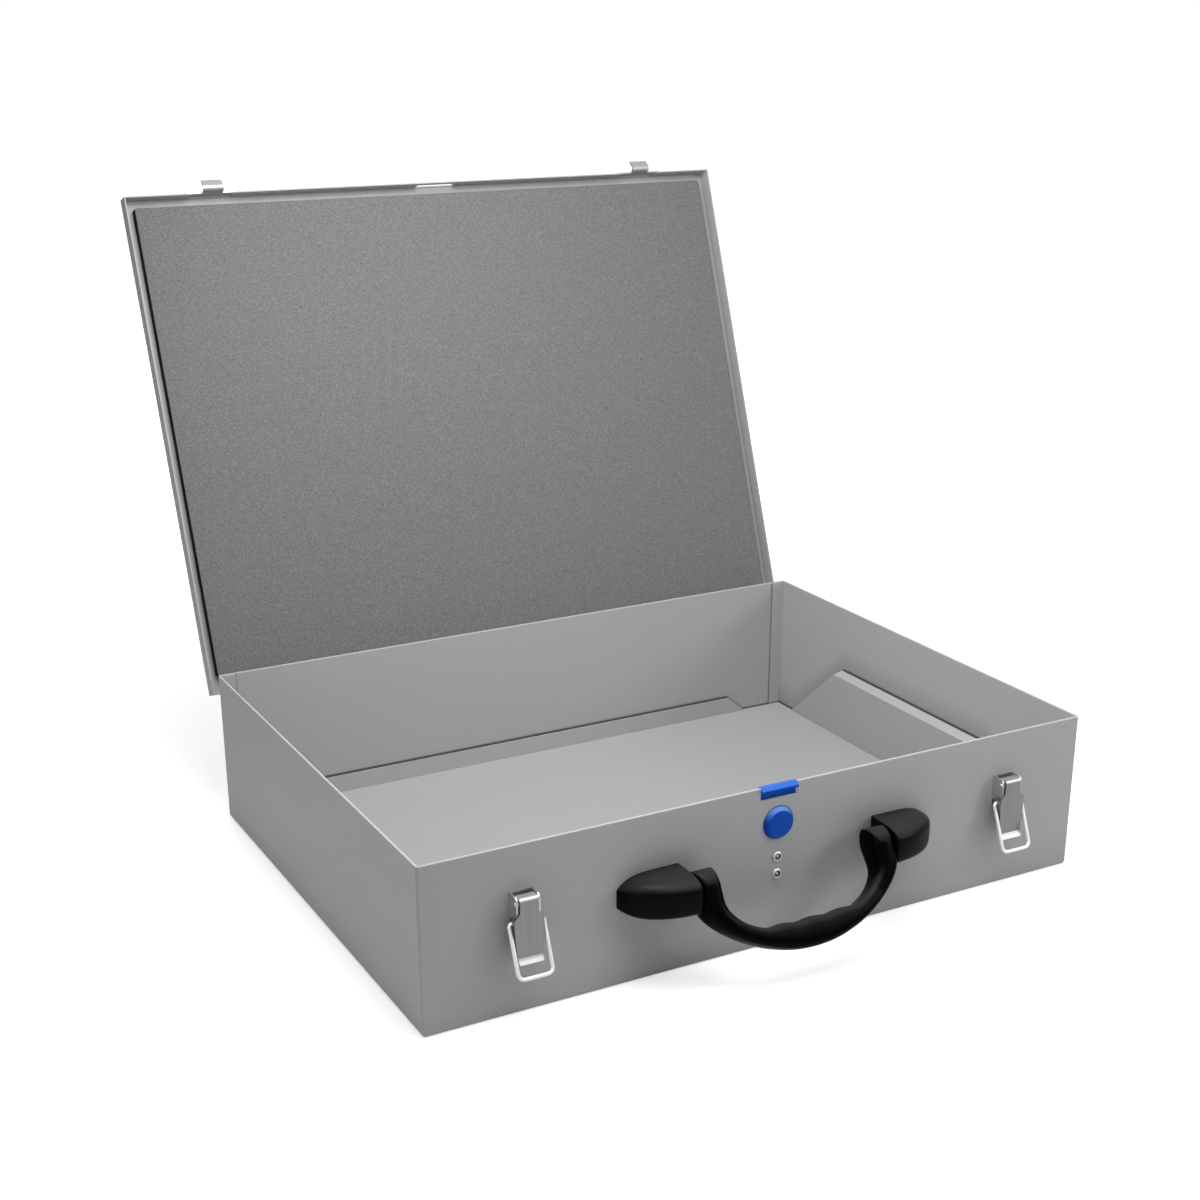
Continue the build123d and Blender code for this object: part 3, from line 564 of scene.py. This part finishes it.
# %% Finish of the foam
cell_scale, cell_share = 1100.0, 0.45
speck_scale, speck_detail, speck_roughness = 900.0, 3.0, 0.7
foam_roughness, foam_specular = 0.95, 0.2
foam_bump, foam_bump_depth = 0.5, 0.0003
pit_tone, pit_value = (0.091, 0.0925, 0.0922), 0.42
rib_tone, rib_value = (0.183, 0.185, 0.1845), 0.95
side_shade_tone, side_low, side_high = (0.008, 0.008, 0.008), 0.3, 0.8
foam, foam_tree, foam_shader = new_material("speckled foam")
foam_place = foam_tree.nodes.new("ShaderNodeTexCoord").outputs["Object"]
cells = foam_tree.nodes.new("ShaderNodeTexVoronoi")
cells.inputs["Scale"].default_value = cell_scale
foam_tree.links.new(foam_place, cells.inputs["Vector"])
specks = noise(foam_tree, foam_place, speck_scale, speck_detail, speck_roughness)
mixed = math_node(foam_tree, "MULTIPLY", cells.outputs["Distance"], cell_share)
mixed = math_node(foam_tree, "ADD", mixed, specks)
ramp = foam_tree.nodes.new("ShaderNodeValToRGB")
for element, tone, value in zip(
    ramp.color_ramp.elements, (pit_tone, rib_tone), (pit_value, rib_value)
):
    element.position = value
    element.color = (*tone, 1.0)
foam_tree.links.new(mixed, ramp.inputs["Fac"])
foam_tree.links.new(ramp.outputs["Color"], foam_shader.inputs["Base Color"])
foam_side = foam_tree.nodes.new("ShaderNodeSeparateXYZ")
foam_normal = foam_tree.nodes.new("ShaderNodeTexCoord").outputs["Normal"]
foam_tree.links.new(foam_normal, foam_side.inputs[0])
sideways = math_node(foam_tree, "ABSOLUTE", foam_side.outputs["X"])
# Painted shade: the sides that face left or right are painted near black
mix_in(foam, band(foam_tree, sideways, side_low, side_high), side_shade_tone)
foam_shader.inputs["Roughness"].default_value = foam_roughness
foam_shader.inputs["Specular IOR Level"].default_value = foam_specular
add_bump(foam_tree, foam_shader, mixed, foam_bump, foam_bump_depth)

foam_pad = new_piece("foam_pad", swing(pad_vertices, -closing), pad_faces, foam, "lid")
# The last two faces are the flat front and back
smooth_faces = np.arange(len(pad_faces)) < len(pad_faces) - 2
foam_pad.data.polygons.foreach_set("use_smooth", smooth_faces)
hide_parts("lid_foam")

# %% [markdown]
# The two blind rivets of the catch spring are turned pieces: a domed head with a deep ring
# round the broken stem, a shank through wall and spring, and the bulb behind. One profile is
# turned about each rivet's own centre line, so the pieces are closed at both poles.

# %% Blind rivets of the catch spring
_, rivet_low, rivet_high = corner_points(nodes["spring_rivets"])
rivet_radius = (rivet_high[0] - rivet_low[0]) / 2
rivet_x = (rivet_high[0] + rivet_low[0]) / 2
rivet_heights = (rivet_low[2] + rivet_radius, rivet_high[2] - rivet_radius)
head_front = rivet_low[1]
rivet_length = rivet_high[1] - head_front
stem, ring, shank, bulb = 0.0009, 0.0018, 0.0016, 0.0023
head_seat, dome_depth, dome_points = 0.0012, 0.0010, 9
ring_depth, ring_lip = 0.0010, 0.0001
stem_depths = (0.0003, 0.00035, 0.0005)
bulb_neck, bulb_start, bulb_end = 0.0016, 0.0014, 0.0006
end_share = 0.7


def head_profile():
    """Radius and depth from the middle of the stem out over the dome, down the shank and over
    the bulb. The dome is a quarter ellipse from the ring's lip to the head's rim."""
    stem_radii = (0.0, stem * end_share, stem)
    stem_end = [*zip(stem_radii, stem_depths), (stem, ring_depth)]
    hole = [(ring, ring_depth), (ring, ring_lip)]
    lip = ring + ring_lip
    dome = np.linspace(0.0, math.pi / 2, dome_points)
    skin = np.column_stack(
        [lip + (rivet_radius - lip) * np.sin(dome), dome_depth * (1 - np.cos(dome))]
    )
    foot = [(rivet_radius, head_seat), (shank, head_seat), (shank, rivet_length - bulb_neck)]
    start = [(bulb, rivet_length - bulb_start), (bulb, rivet_length - bulb_end)]
    end = [(bulb * end_share, rivet_length), (0.0, rivet_length)]
    return np.array(stem_end + hole + skin.tolist() + foot + start + end)


def turned(profile, count):
    """Vertices and faces of a profile turned about the y axis. Its first and last point lie on
    the axis and close as fans; every other point becomes a ring of the given count."""
    angle = np.linspace(0.0, 2 * math.pi, count, endpoint=False)
    middle = profile[1:-1]
    x = (middle[:, 0, None] * np.cos(angle)).ravel()
    z = (middle[:, 0, None] * np.sin(angle)).ravel()
    y = np.repeat(middle[:, 1], count)
    ends = np.array([[0.0, profile[0, 1], 0.0], [0.0, profile[-1, 1], 0.0]])
    vertices = np.concatenate([np.column_stack([x, y, z]), ends])
    step = np.arange(count)
    nxt = (step + 1) % count
    first, last = len(middle) * count, len(middle) * count + 1
    faces = np.column_stack([np.full(count, first), step, nxt]).tolist()
    for row in range(len(middle) - 1):
        a, b = row * count, (row + 1) * count
        faces += np.column_stack([a + step, b + step, b + nxt, a + nxt]).tolist()
    base = (len(middle) - 1) * count
    faces += np.column_stack([base + step, np.full(count, last), base + nxt]).tolist()
    return vertices, faces


rivet_profile = head_profile()
rivet_ring = 40
# Counted from the middle of the stem, the bands of faces from the first number up to the second
# are the ring's floor and its outer wall
recess_first, recess_last = 3, 5
rivet_vertices, rivet_faces = turned(rivet_profile, rivet_ring)
pair_vertices = np.concatenate(
    [rivet_vertices + (rivet_x, head_front, height) for height in rivet_heights]
)
pair_faces = [
    [corner + copy * len(rivet_vertices) for corner in face]
    for copy in range(2)
    for face in rivet_faces
]
catch_rivets = new_piece("catch_rivets", pair_vertices, pair_faces, bright_zinc, "case")
# The ring's floor and outer wall are painted near black as painted shade
catch_rivets.data.materials.append(painted_recess_shade)
recess_rows = np.zeros(len(rivet_faces), dtype=np.int32)
recess_rows[rivet_ring * recess_first : rivet_ring * recess_last] = 1
catch_rivets.data.polygons.foreach_set("material_index", np.tile(recess_rows, 2))
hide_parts("spring_rivets")
print("rivet profile points", len(rivet_profile))

# %% [markdown]
# The push button is turned too: a flat face, a broad bevel that runs down to the wall, and a
# straight skirt that reaches back to the spring. Two rings close together keep the line
# between face and bevel crisp.

# %% Push button
_, button_low, button_high = corner_points(nodes["release_button"])
button_centre = (button_low + button_high) / 2
button_radius = (button_high[0] - button_low[0]) / 2
bevel_width, bevel_depth, bevel_steps, bevel_power = 0.0020, 0.0025, 9, 1.35
face_share, line_inside, line_outside, line_drop = 0.6, 0.0001, 0.00005, 0.00003
skirt_start, back_inset = 0.0002, 0.0004
button_ring = 72


def cap_profile():
    """Radius and depth from the middle of the face outwards. The bevel's depth grows as a power
    of the share of its width, so it is slightly rounded and steepest at the rim."""
    flat = button_radius - bevel_width
    share = np.linspace(0.0, 1.0, bevel_steps)[1:]
    bevel = np.column_stack([flat + bevel_width * share, bevel_depth * share**bevel_power])
    back = button_high[1] - button_low[1]
    face = [(0.0, 0.0), (flat * face_share, 0.0), (flat - line_inside, 0.0)]
    line = [(flat + line_outside, line_drop)]
    skirt = [(button_radius, bevel_depth + skirt_start), (button_radius, back)]
    end = [(button_radius - back_inset, back), (0.0, back)]
    return np.array(face + line + bevel.tolist() + skirt + end)


cap_vertices, cap_faces = turned(cap_profile(), button_ring)
cap_place = (button_centre[0], button_low[1], button_centre[2])
push_button = new_piece(
    "push_button", cap_vertices + cap_place, cap_faces, button_plastic, "catch"
)
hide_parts("release_button")
print("button faces", len(cap_faces))

# %% [markdown]
# The grip is one soft moulding: a bow that is broad in the middle, slim at the bends and deep
# at the eyes. Its cross sections are swept between an inner and an outer edge, and gentle
# finger waves run along the inner edge. The sections are superellipses, which read as flat
# faces with generously rounded edges.

# %% Shape of the grip
handle_joint = next(joint for joint in frame["joints"] if joint["name"] == "handle_swing")
handle_axis = np.array([0.0, *handle_joint["pos_m"][1:]])
# The bow leans out from the wall by this angle
handle_tilt = math.radians(34.0)
up_the_bow = np.array([0.0, math.sin(handle_tilt), math.cos(handle_tilt)])
through_bow = np.array([0.0, -math.cos(handle_tilt), math.sin(handle_tilt)])
arm_inner, arm_outer = 0.0510, 0.0648
bow_inner, bow_outer = 0.0289, 0.0458
bow_depth, eye_radius, taper = 0.0145, 0.0110, 0.025
wave_pitch, wave_depth, wave_end = 0.020, 0.0010, 0.040
grip_exponent, eye_steps, eye_first, eye_last = 3.2, 12, 8.0, 87.0
# Points of the two edges from beside the middle to the eye, as shares of the half width and
# the reach
inner_edge = [
    (0.231, 0.627),
    (0.463, 0.614),
    (0.610, 0.537),
    (0.719, 0.404),
    (0.776, 0.273),
    (arm_inner / arm_outer, 0.131),
    (arm_inner / arm_outer, 0.0),
]
outer_edge = [
    (0.239, 0.967),
    (0.486, 0.860),
    (0.699, 0.705),
    (0.880, 0.507),
    (0.985, 0.306),
    (1.0, 0.131),
    (1.0, 0.0),
]


def edge_curve(shares, middle, count):
    """A smooth curve through the edge's points and their mirror images. Between two points it
    is the cubic whose slope at each point is half the step between its two neighbours."""
    half = np.array(shares) * (arm_outer, -bow_outer)
    points = np.concatenate([half[::-1] * (-1, 1), [(0.0, -middle)], half])
    first, last = 2 * points[0] - points[1], 2 * points[-1] - points[-2]
    points = np.concatenate([[first], points, [last]])
    t = np.linspace(0.0, len(points) - 3 - 1e-9, count)
    i = t.astype(int)
    f = (t - i)[:, None]
    a, b, c, d = (points[i + k] for k in range(4))
    slope = (c - a) * f
    bend = (2 * a - 5 * b + 4 * c - d) * f**2
    twist = (3 * b - a - 3 * c + d) * f**3
    return b + 0.5 * (slope + bend + twist)


def power_ring(count, exponent):
    """Cosine and sine of the ring's angles, each raised to 2 / exponent with its sign kept."""
    angle = np.linspace(0.0, 2 * math.pi, count, endpoint=False)
    c, s = np.cos(angle), np.sin(angle)
    share = 2 / exponent
    return np.sign(c) * np.abs(c) ** share, np.sign(s) * np.abs(s) ** share


def swept(rings):
    """Faces between successive rings of equal size, with a flat face over each end."""
    rows, size = len(rings), len(rings[0])
    step = np.arange(size)
    nxt = (step + 1) % size
    faces = []
    for row in range(rows - 1):
        a, b = row * size, (row + 1) * size
        faces += np.column_stack([a + step, b + step, b + nxt, a + nxt]).tolist()
    return faces + [step[::-1].tolist(), ((rows - 1) * size + step).tolist()]


stations, ring_points = 181, 36
inner_line = edge_curve(inner_edge, bow_inner, stations)
outer_line = edge_curve(outer_edge, bow_outer, stations)
# The finger waves are a raised cosine of the distance from the middle, and fade with its fourth
# power
fade = np.clip(1 - (np.abs(inner_line[:, 0]) / wave_end) ** 4, 0.0, 1.0)
wave = 0.5 * (1 - np.cos(2 * math.pi * inner_line[:, 0] / wave_pitch))
inner_line[:, 1] -= wave_depth * wave * fade
middle_line = (inner_line + outer_line) / 2
half_across = (outer_line - inner_line) / 2
# Within the taper below the eyes the bow gets deeper in step with its height, up to the eyes'
# diameter
swell = np.clip(1 + middle_line[:, 1] / taper, 0.0, None)
half_deep = (bow_depth + swell * (2 * eye_radius - bow_depth)) / 2
# The eyes continue the arms as half discs
lift = np.radians(np.linspace(eye_first, eye_last, eye_steps))
eye_across = np.full(eye_steps, (arm_inner + arm_outer) / 2)
eye_middle = np.column_stack([eye_across, eye_radius * np.sin(lift)])
eye_half = np.column_stack([np.full(eye_steps, (arm_outer - arm_inner) / 2), np.zeros(eye_steps)])
eye_deep = eye_radius * np.cos(lift)
centres = np.concatenate([eye_middle[::-1] * (-1, 1), middle_line, eye_middle])
across = np.concatenate([-eye_half, half_across, eye_half])
deep = np.concatenate([eye_deep[::-1], half_deep, eye_deep])
wide_share, deep_share = power_ring(ring_points, grip_exponent)
flat = centres[:, None, :] + across[:, None, :] * wide_share[None, :, None]
grip_rings = (
    handle_axis
    + flat[:, :, 0, None] * np.array([1.0, 0.0, 0.0])
    + flat[:, :, 1, None] * up_the_bow
    + (deep[:, None] * deep_share)[:, :, None] * through_bow
)
stud_radius, stud_ring = 0.0040, 32
stud_start, stud_end = arm_outer - 0.0010, arm_outer + 0.0060
stud_profile = np.array(
    [(0.0, stud_start), (stud_radius, stud_start), (stud_radius, stud_end), (0.0, stud_end)]
)
stud_vertices, stud_faces = turned(stud_profile, stud_ring)
parts, grip_faces = [grip_rings.reshape(-1, 3)], swept(grip_rings)
for side in (-1, 1):
    base = sum(len(part) for part in parts)
    grip_faces += [[corner + base for corner in face] for face in stud_faces]
    parts.append(stud_vertices[:, [1, 0, 2]] * (side, 1, 1) + handle_axis)
grip = new_piece("grip", np.concatenate(parts), grip_faces, grip_plastic, "handle")
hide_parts("handle_grip")
print("grip faces", len(grip_faces))

# %% [markdown]
# Each bracket is a moulded half shell on the front wall: a broad inner end with a round socket
# for the grip's stud, and a nose that runs out to the wall in a smooth curve. Sections across
# it are squarer superellipses than the grip's, and reach, top and underside each follow a power
# of the way along.

# %% Shape of the brackets
socket_radius, socket_depth, socket_middle = 0.0041, 0.0060, 0.02
end_round, mouth_share, end_turns = 0.0009, 0.955, (30.0, 60.0, 90.0)
bracket_low_rise, bracket_low_power = 0.20, 8
bracket_high_fall, bracket_high_power = 0.34, 6
bracket_fullness, bracket_nose, bracket_exponent = 2.1, 0.58, 4.4
front_points, back_points, nose_rings = 33, 13, 30
nose_first, nose_last = 0.05, math.pi / 2 - 0.02


def bracket_rings(low, high, side):
    """Rings from the socket's bottom out over the inner end and along to the nose. The socket's
    rings point from its centre towards the section's points, so that no face folds."""
    angle = np.linspace(-math.pi / 2, math.pi / 2, front_points)
    share = 2 / bracket_exponent
    out_share = np.abs(np.cos(angle)) ** share
    up_share = np.sign(angle) * np.abs(np.sin(angle)) ** share
    back = np.linspace(1.0, -1.0, back_points)[1:-1]
    out_share = np.concatenate([out_share, np.zeros(len(back))])
    up_share = np.concatenate([up_share, back])
    length, reach, full = high - low

    def ring(along, scale):
        """One section. Its underside rises and its top falls by a power of the way along, and
        its reach is (1 - along to the fullness) to the nose power."""
        bottom = low[2] + bracket_low_rise * full * along**bracket_low_power
        top = high[2] - bracket_high_fall * full * along**bracket_high_power
        out = reach * max(1 - along**bracket_fullness, 0.0) ** bracket_nose
        x = np.full(len(out_share), along * length)
        y = high[1] - out * scale * out_share
        z = (top + bottom) / 2 + (top - bottom) / 2 * scale * up_share
        return np.column_stack([x, y, z])

    mouth = ring(0.0, mouth_share)
    spoke = mouth[:, 1:] - handle_axis[1:]
    spoke *= socket_radius / np.linalg.norm(spoke, axis=1)[:, None]
    rings = []
    for depth, size in ((socket_depth, socket_middle), (socket_depth, 1.0), (0.0, 1.0)):
        into = np.full(len(mouth), depth)
        rings.append(np.column_stack([into, spoke * size + handle_axis[1:]]))
    rings.append(mouth)
    for turn in np.radians(end_turns):
        edge = ring(0.0, mouth_share + (1 - mouth_share) * math.sin(turn))
        edge[:, 0] = end_round * (1 - math.cos(turn))
        rings.append(edge)
    rings += [ring(math.sin(turn), 1.0) for turn in np.linspace(nose_first, nose_last, nose_rings)]
    rings = np.array(rings)
    start = low[0] if side > 0 else high[0]
    rings[:, :, 0] = start + side * rings[:, :, 0]
    return rings


brackets = [
    (-1, "handle_bracket_left", "bracket_left_moulding"),
    (1, "handle_bracket_right", "bracket_right_moulding"),
]
for side, name, piece_name in brackets:
    _, bracket_low, bracket_high = corner_points(nodes[name])
    rings = bracket_rings(bracket_low, bracket_high, side)
    piece = new_piece(piece_name, rings.reshape(-1, 3), swept(rings), black_plastic, "case")
    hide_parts(name)
    print(piece.name, "rings", len(rings))

# %% [markdown]
# The table is a large white sheet. It looks white to the camera and still takes the shadow of
# the case. The room is white overhead and dim near the horizon in reflections, so plastic
# and zinc are bright on top and dark in front, as in the photograph.

# %% Table, background and lamps
def seen_mask(tree):
    """Two masks: 1 for camera and transmission rays, and 1 for glossy rays, else 0."""
    rays = tree.nodes.new("ShaderNodeLightPath")
    straight = [rays.outputs["Is Camera Ray"], rays.outputs["Is Transmission Ray"]]
    return math_node(tree, "MAXIMUM", *straight), rays.outputs["Is Glossy Ray"]


world = bpy.data.worlds.new("studio")
bpy.context.scene.world = world
world.use_nodes = True
sky = world.node_tree
dome = sky.nodes["Background"]
dome.inputs["Color"].default_value = (1.0, 1.0, 1.0, 1.0)
sky_seen, sky_glossy = seen_mask(sky)
ambient, horizon, zenith = 0.17, 0.0, 0.6
sky_split = sky.nodes.new("ShaderNodeSeparateXYZ")
sky.links.new(sky.nodes.new("ShaderNodeTexCoord").outputs["Generated"], sky_split.inputs[0])
overhead = band(sky, sky_split.outputs["Z"], horizon, zenith)
reflected = math_node(sky, "MULTIPLY", sky_glossy, overhead)
mask = math_node(sky, "MAXIMUM", sky_seen, reflected)
span = math_node(sky, "MULTIPLY", mask, 1.0 - ambient)
sky.links.new(math_node(sky, "ADD", span, ambient), dome.inputs["Strength"])

# The table glows for the camera, less near the case, where its shadow falls
near_radius, far_radius, near_glow, far_glow = 0.3, 0.9, 0.55, 1.0
table, table_tree, table_shader = new_material("white table")
table_shader.inputs["Base Color"].default_value = (0.8, 0.8, 0.8, 1.0)
table_shader.inputs["Roughness"].default_value = 1.0
table_shader.inputs["Specular IOR Level"].default_value = 0.0
table_shader.inputs["Emission Color"].default_value = (1.0, 1.0, 1.0, 1.0)
table_place = table_tree.nodes.new("ShaderNodeTexCoord").outputs["Object"]
distance = table_tree.nodes.new("ShaderNodeVectorMath")
distance.operation = "LENGTH"
table_tree.links.new(table_place, distance.inputs[0])
far = band(table_tree, distance.outputs["Value"], near_radius, far_radius)
table_glow = math_node(table_tree, "MULTIPLY", far, far_glow - near_glow)
table_glow = math_node(table_tree, "ADD", table_glow, near_glow)
table_glow = math_node(table_tree, "MULTIPLY", seen_mask(table_tree)[0], table_glow)
table_tree.links.new(table_glow, table_shader.inputs["Emission Strength"])
floor_mesh = bpy.data.meshes.new("table")
reach = 6.0
floor_mesh.from_pydata(
    [(-reach, -reach, 0), (reach, -reach, 0), (reach, reach, 0), (-reach, reach, 0)],
    [],
    [(0, 1, 2, 3)],
)
floor = bpy.data.objects.new("table", floor_mesh)
floor_mesh.materials.append(table)
bpy.context.scene.collection.objects.link(floor)


def lamp(name, place, aim, size, power):
    """A square area lamp at a place, turned so that it faces the aim point."""
    data = bpy.data.lights.new(name, "AREA")
    data.shape = "SQUARE"
    data.size = size
    data.energy = power
    made = bpy.data.objects.new(name, data)
    bpy.context.scene.collection.objects.link(made)
    made.visible_camera = False
    made.location = place
    direction = Vector(aim) - Vector(place)
    made.rotation_euler = direction.to_track_quat("-Z", "Y").to_euler()


lamp("inside back", (0.06, -0.36, 0.66), (0.0, 0.14, 0.03), 0.5, 2.0)
lamp("inside right", (-0.12, -0.05, 0.6), (0.22, 0.0, 0.06), 0.35, 3.2)
lamp("left", (-1.6, -0.4, 0.7), (-0.2, 0.0, 0.1), 0.9, 2.4)
lamp("low left", (-1.5, -0.12, 0.2), (-0.2, 0.0, 0.05), 0.4, 2.2)
lamp("near right", (0.75, -0.75, 0.45), (0.22, -0.1, 0.05), 0.3, 2.6)
lamp("behind", (0.4, 2.0, 1.3), (0.0, 0.3, 0.15), 1.2, 20.0)

# %% [markdown]
# The camera stands where the photograph was taken from: in front of the case, to its left,
# about half a metre up. The picture is a shifted crop, which the lens shift repeats.

# %% Camera
picture = 1200.0
focal_pixels = 1847.8
centre_pixel = (615.3, 712.1)
sensor = 36.0
tilt, roll, heading = 68.94, -0.07, -28.92
camera_data = bpy.data.cameras.new("camera")
camera_data.sensor_width = sensor
camera_data.lens = focal_pixels / picture * sensor
camera_data.shift_x = -(centre_pixel[0] - picture / 2) / picture
camera_data.shift_y = (centre_pixel[1] - picture / 2) / picture
camera = bpy.data.objects.new("camera", camera_data)
camera.location = (-0.5402, -0.9492, 0.5091)
camera.rotation_euler = [math.radians(angle) for angle in (tilt, roll, heading)]
bpy.context.scene.collection.objects.link(camera)
bpy.context.scene.camera = camera
bpy.context.scene.view_settings.view_transform = "Standard"
